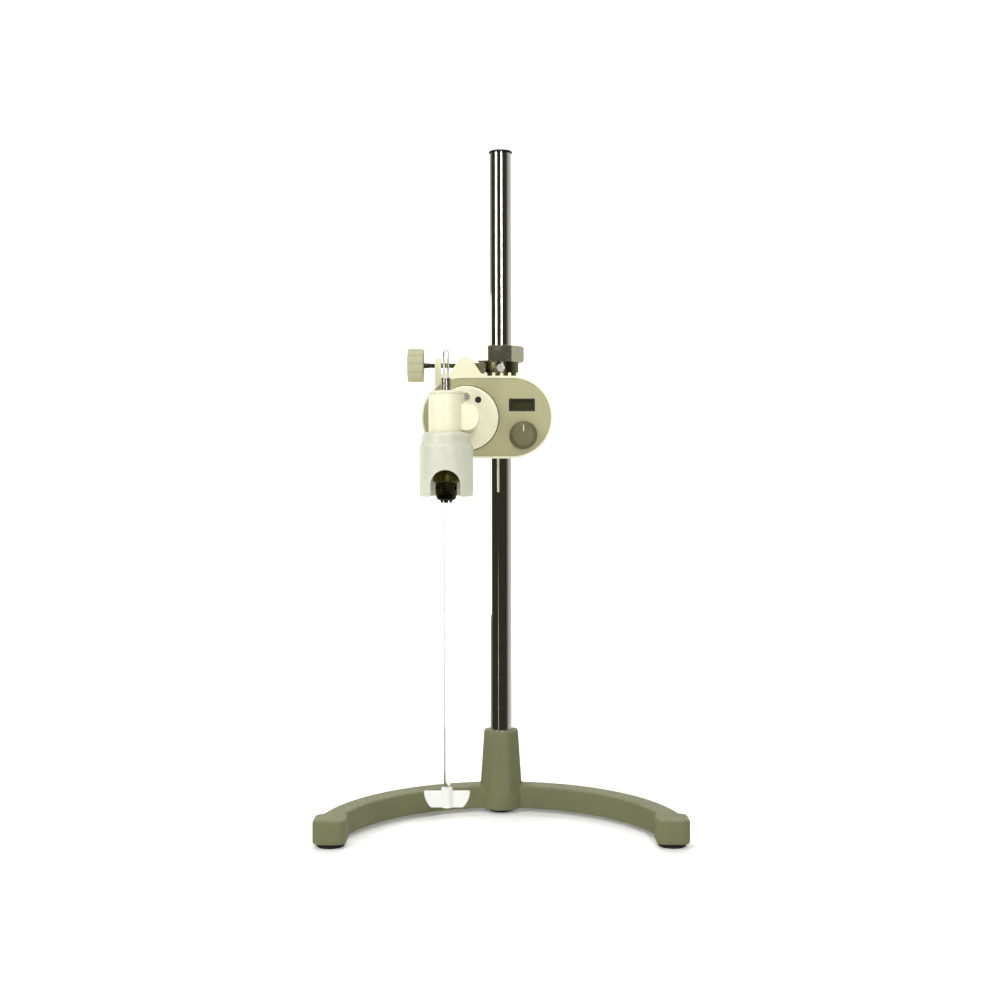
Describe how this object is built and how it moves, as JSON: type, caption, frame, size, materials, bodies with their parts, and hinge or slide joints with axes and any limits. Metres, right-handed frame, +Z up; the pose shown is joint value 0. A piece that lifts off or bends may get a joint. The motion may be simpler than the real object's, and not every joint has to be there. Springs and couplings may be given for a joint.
{
  "type": "overhead laboratory stirrer",
  "caption": "Overhead laboratory stirrer: a geared motor head with chuck, guard and glass rod, clamped to a chromed post on a horseshoe stand.",
  "frame": {"origin": "on the table, where the axis of the post meets it, under the rear foot", "axes": "+Z up along the post, -Y to the front where the operator stands, +X to the operator's right"},
  "size_m": [0.4, 0.196, 0.768],
  "materials": {
    "cast_paint": "satin grey-olive paint on cast iron",
    "foot_rubber": "black rubber",
    "post_chrome": "polished chromium plate",
    "black_plastic": "black moulded plastic",
    "screw_steel": "zinc plated steel",
    "nickel_plate": "satin nickel plate",
    "ivory_shell": "ivory moulded plastic",
    "khaki_panel": "khaki-beige satin paint",
    "ivory_casting": "ivory gloss paint on aluminium",
    "chassis_alloy": "dull aluminium plate",
    "board_green": "green solder resist",
    "display_lcd": "dark unlit display",
    "knob_grey": "grey-brown plastic",
    "thumb_beige": "beige-grey plastic",
    "motor_steel": "plain steel can",
    "worm_steel": "ground steel",
    "wheel_bronze": "bronze",
    "spindle_steel": "ground steel",
    "chuck_steel": "dark oiled steel",
    "guard_milky": "milky translucent polypropylene",
    "rod_glass": "clear borosilicate glass",
    "blade_white": "white fluoropolymer"
  },
  "bodies": {
    "stand": {"base_casting": "cast_paint", "foot_left": "foot_rubber", "foot_right": "foot_rubber", "foot_rear": "foot_rubber", "post": "post_chrome", "post_cap": "black_plastic", "post_set_screw": "screw_steel"},
    "clamp_collet": {"clamp_collet": "nickel_plate"},
    "boss_head": {"boss_head": "nickel_plate", "support_rod": "spindle_steel", "rod_set_screw": "screw_steel", "swivel_lock_screw": "nickel_plate"},
    "clamp_nut": {"clamp_nut": "nickel_plate"},
    "head": {"rear_housing": "ivory_shell", "housing_screws": "screw_steel", "front_panel": "khaki_panel", "chassis_plate": "chassis_alloy", "circuit_board": "board_green", "display_module": "black_plastic", "display_glass": "display_lcd", "speed_pot": "chassis_alloy", "switch_frame": "black_plastic", "cable_gland": "black_plastic", "top_bracket": "ivory_casting", "bracket_screws": "screw_steel", "gear_housing": "ivory_casting", "hub_cover": "ivory_casting", "barrel_cap": "ivory_casting", "flange_screw": "screw_steel", "flange_plug": "black_plastic", "spindle_bearing_lower": "worm_steel", "spindle_bearing_upper": "worm_steel", "worm_bearing": "worm_steel", "motor": "motor_steel"},
    "thumb_screw": {"thumb_screw": "chuck_steel", "thumb_knob": "thumb_beige"},
    "speed_knob": {"speed_knob": "knob_grey", "pot_shaft": "spindle_steel"},
    "power_rocker": {"power_rocker": "black_plastic"},
    "motor_shaft": {"motor_shaft": "worm_steel", "worm": "worm_steel"},
    "spindle": {"spindle_tube": "spindle_steel", "worm_wheel": "wheel_bronze", "chuck_body": "chuck_steel"},
    "chuck_sleeve": {"chuck_sleeve": "chuck_steel", "jaw_nut": "chuck_steel"},
    "chuck_jaw_1": {"chuck_jaw_1": "chuck_steel"},
    "chuck_jaw_2": {"chuck_jaw_2": "chuck_steel"},
    "chuck_jaw_3": {"chuck_jaw_3": "chuck_steel"},
    "guard_ring": {"guard_ring": "foot_rubber"},
    "chuck_guard": {"chuck_guard": "guard_milky"},
    "stirring_rod": {"stirring_rod": "rod_glass", "stirrer_blade": "blade_white"}
  },
  "joints": [
    {"name": "clamp_height", "type": "slide", "parent": "stand", "child": "clamp_collet", "axis": [0, 0, 1], "range_m": [0, 0.215]},
    {"name": "head_swivel", "type": "hinge", "parent": "clamp_collet", "child": "boss_head", "pos_m": [0, 0, 0.516], "axis": [0, 0, 1], "range_deg": [-58, 112]},
    {"name": "clamp_nut_turn", "type": "hinge", "parent": "boss_head", "child": "clamp_nut", "pos_m": [0, 0, 0.532], "axis": [0, 0, 1], "range_deg": [0, 180]},
    {"name": "head_tilt", "type": "hinge", "parent": "boss_head", "child": "head", "pos_m": [-0.0394, -0.06, 0.516], "axis": [0, 1, 0], "range_deg": [-30, 30]},
    {"name": "thumb_screw_turn", "type": "hinge", "parent": "head", "child": "thumb_screw", "pos_m": [-0.095, -0.062, 0.516], "axis": [1, 0, 0], "range_deg": [-360, 0]},
    {"name": "speed_knob_turn", "type": "hinge", "parent": "head", "child": "speed_knob", "pos_m": [0.025, -0.085, 0.438], "axis": [0, 1, 0], "range_deg": [0, 280]},
    {"name": "power_rocker_tilt", "type": "hinge", "parent": "head", "child": "power_rocker", "pos_m": [0.02, -0.0305, 0.466], "axis": [1, 0, 0], "range_deg": [-16, 0]},
    {"name": "spindle_spin", "type": "hinge", "parent": "head", "child": "spindle", "pos_m": [-0.059, -0.12, 0.45], "axis": [0, 0, 1], "continuous": true},
    {"name": "motor_spin", "type": "hinge", "parent": "head", "child": "motor_shaft", "pos_m": [-0.0378, -0.09, 0.4568], "axis": [0, 1, 0], "continuous": true},
    {"name": "chuck_sleeve_turn", "type": "hinge", "parent": "spindle", "child": "chuck_sleeve", "pos_m": [-0.059, -0.12, 0.395], "axis": [0, 0, 1], "range_deg": [0, 720]},
    {"name": "chuck_jaw_1_slide", "type": "slide", "parent": "spindle", "child": "chuck_jaw_1", "axis": [0.1504, 0.0868, 0.9848], "range_m": [0, 0.004]},
    {"name": "chuck_jaw_2_slide", "type": "slide", "parent": "spindle", "child": "chuck_jaw_2", "axis": [-0.1504, 0.0868, 0.9848], "range_m": [0, 0.004]},
    {"name": "chuck_jaw_3_slide", "type": "slide", "parent": "spindle", "child": "chuck_jaw_3", "axis": [0, -0.1736, 0.9848], "range_m": [0, 0.004]},
    {"name": "guard_slide", "type": "slide", "parent": "head", "child": "guard_ring", "axis": [0, 0, 1], "range_m": [-0.009, 0]},
    {"name": "guard_turn", "type": "hinge", "parent": "guard_ring", "child": "chuck_guard", "pos_m": [-0.059, -0.12, 0.43], "axis": [0, 0, 1], "range_deg": [-180, 180]},
    {"name": "stirring_rod_slide", "type": "slide", "parent": "spindle", "child": "stirring_rod", "axis": [0, 0, 1], "range_m": [0, 0.29]}
  ],
  "couplings": [
    {"joint": "motor_spin", "follows": "spindle_spin", "ratio": -10},
    {"joint": "chuck_jaw_1_slide", "follows": "chuck_sleeve_turn", "m_per_rad": 0.00031831},
    {"joint": "chuck_jaw_2_slide", "follows": "chuck_sleeve_turn", "m_per_rad": 0.00031831},
    {"joint": "chuck_jaw_3_slide", "follows": "chuck_sleeve_turn", "m_per_rad": 0.00031831}
  ]
}
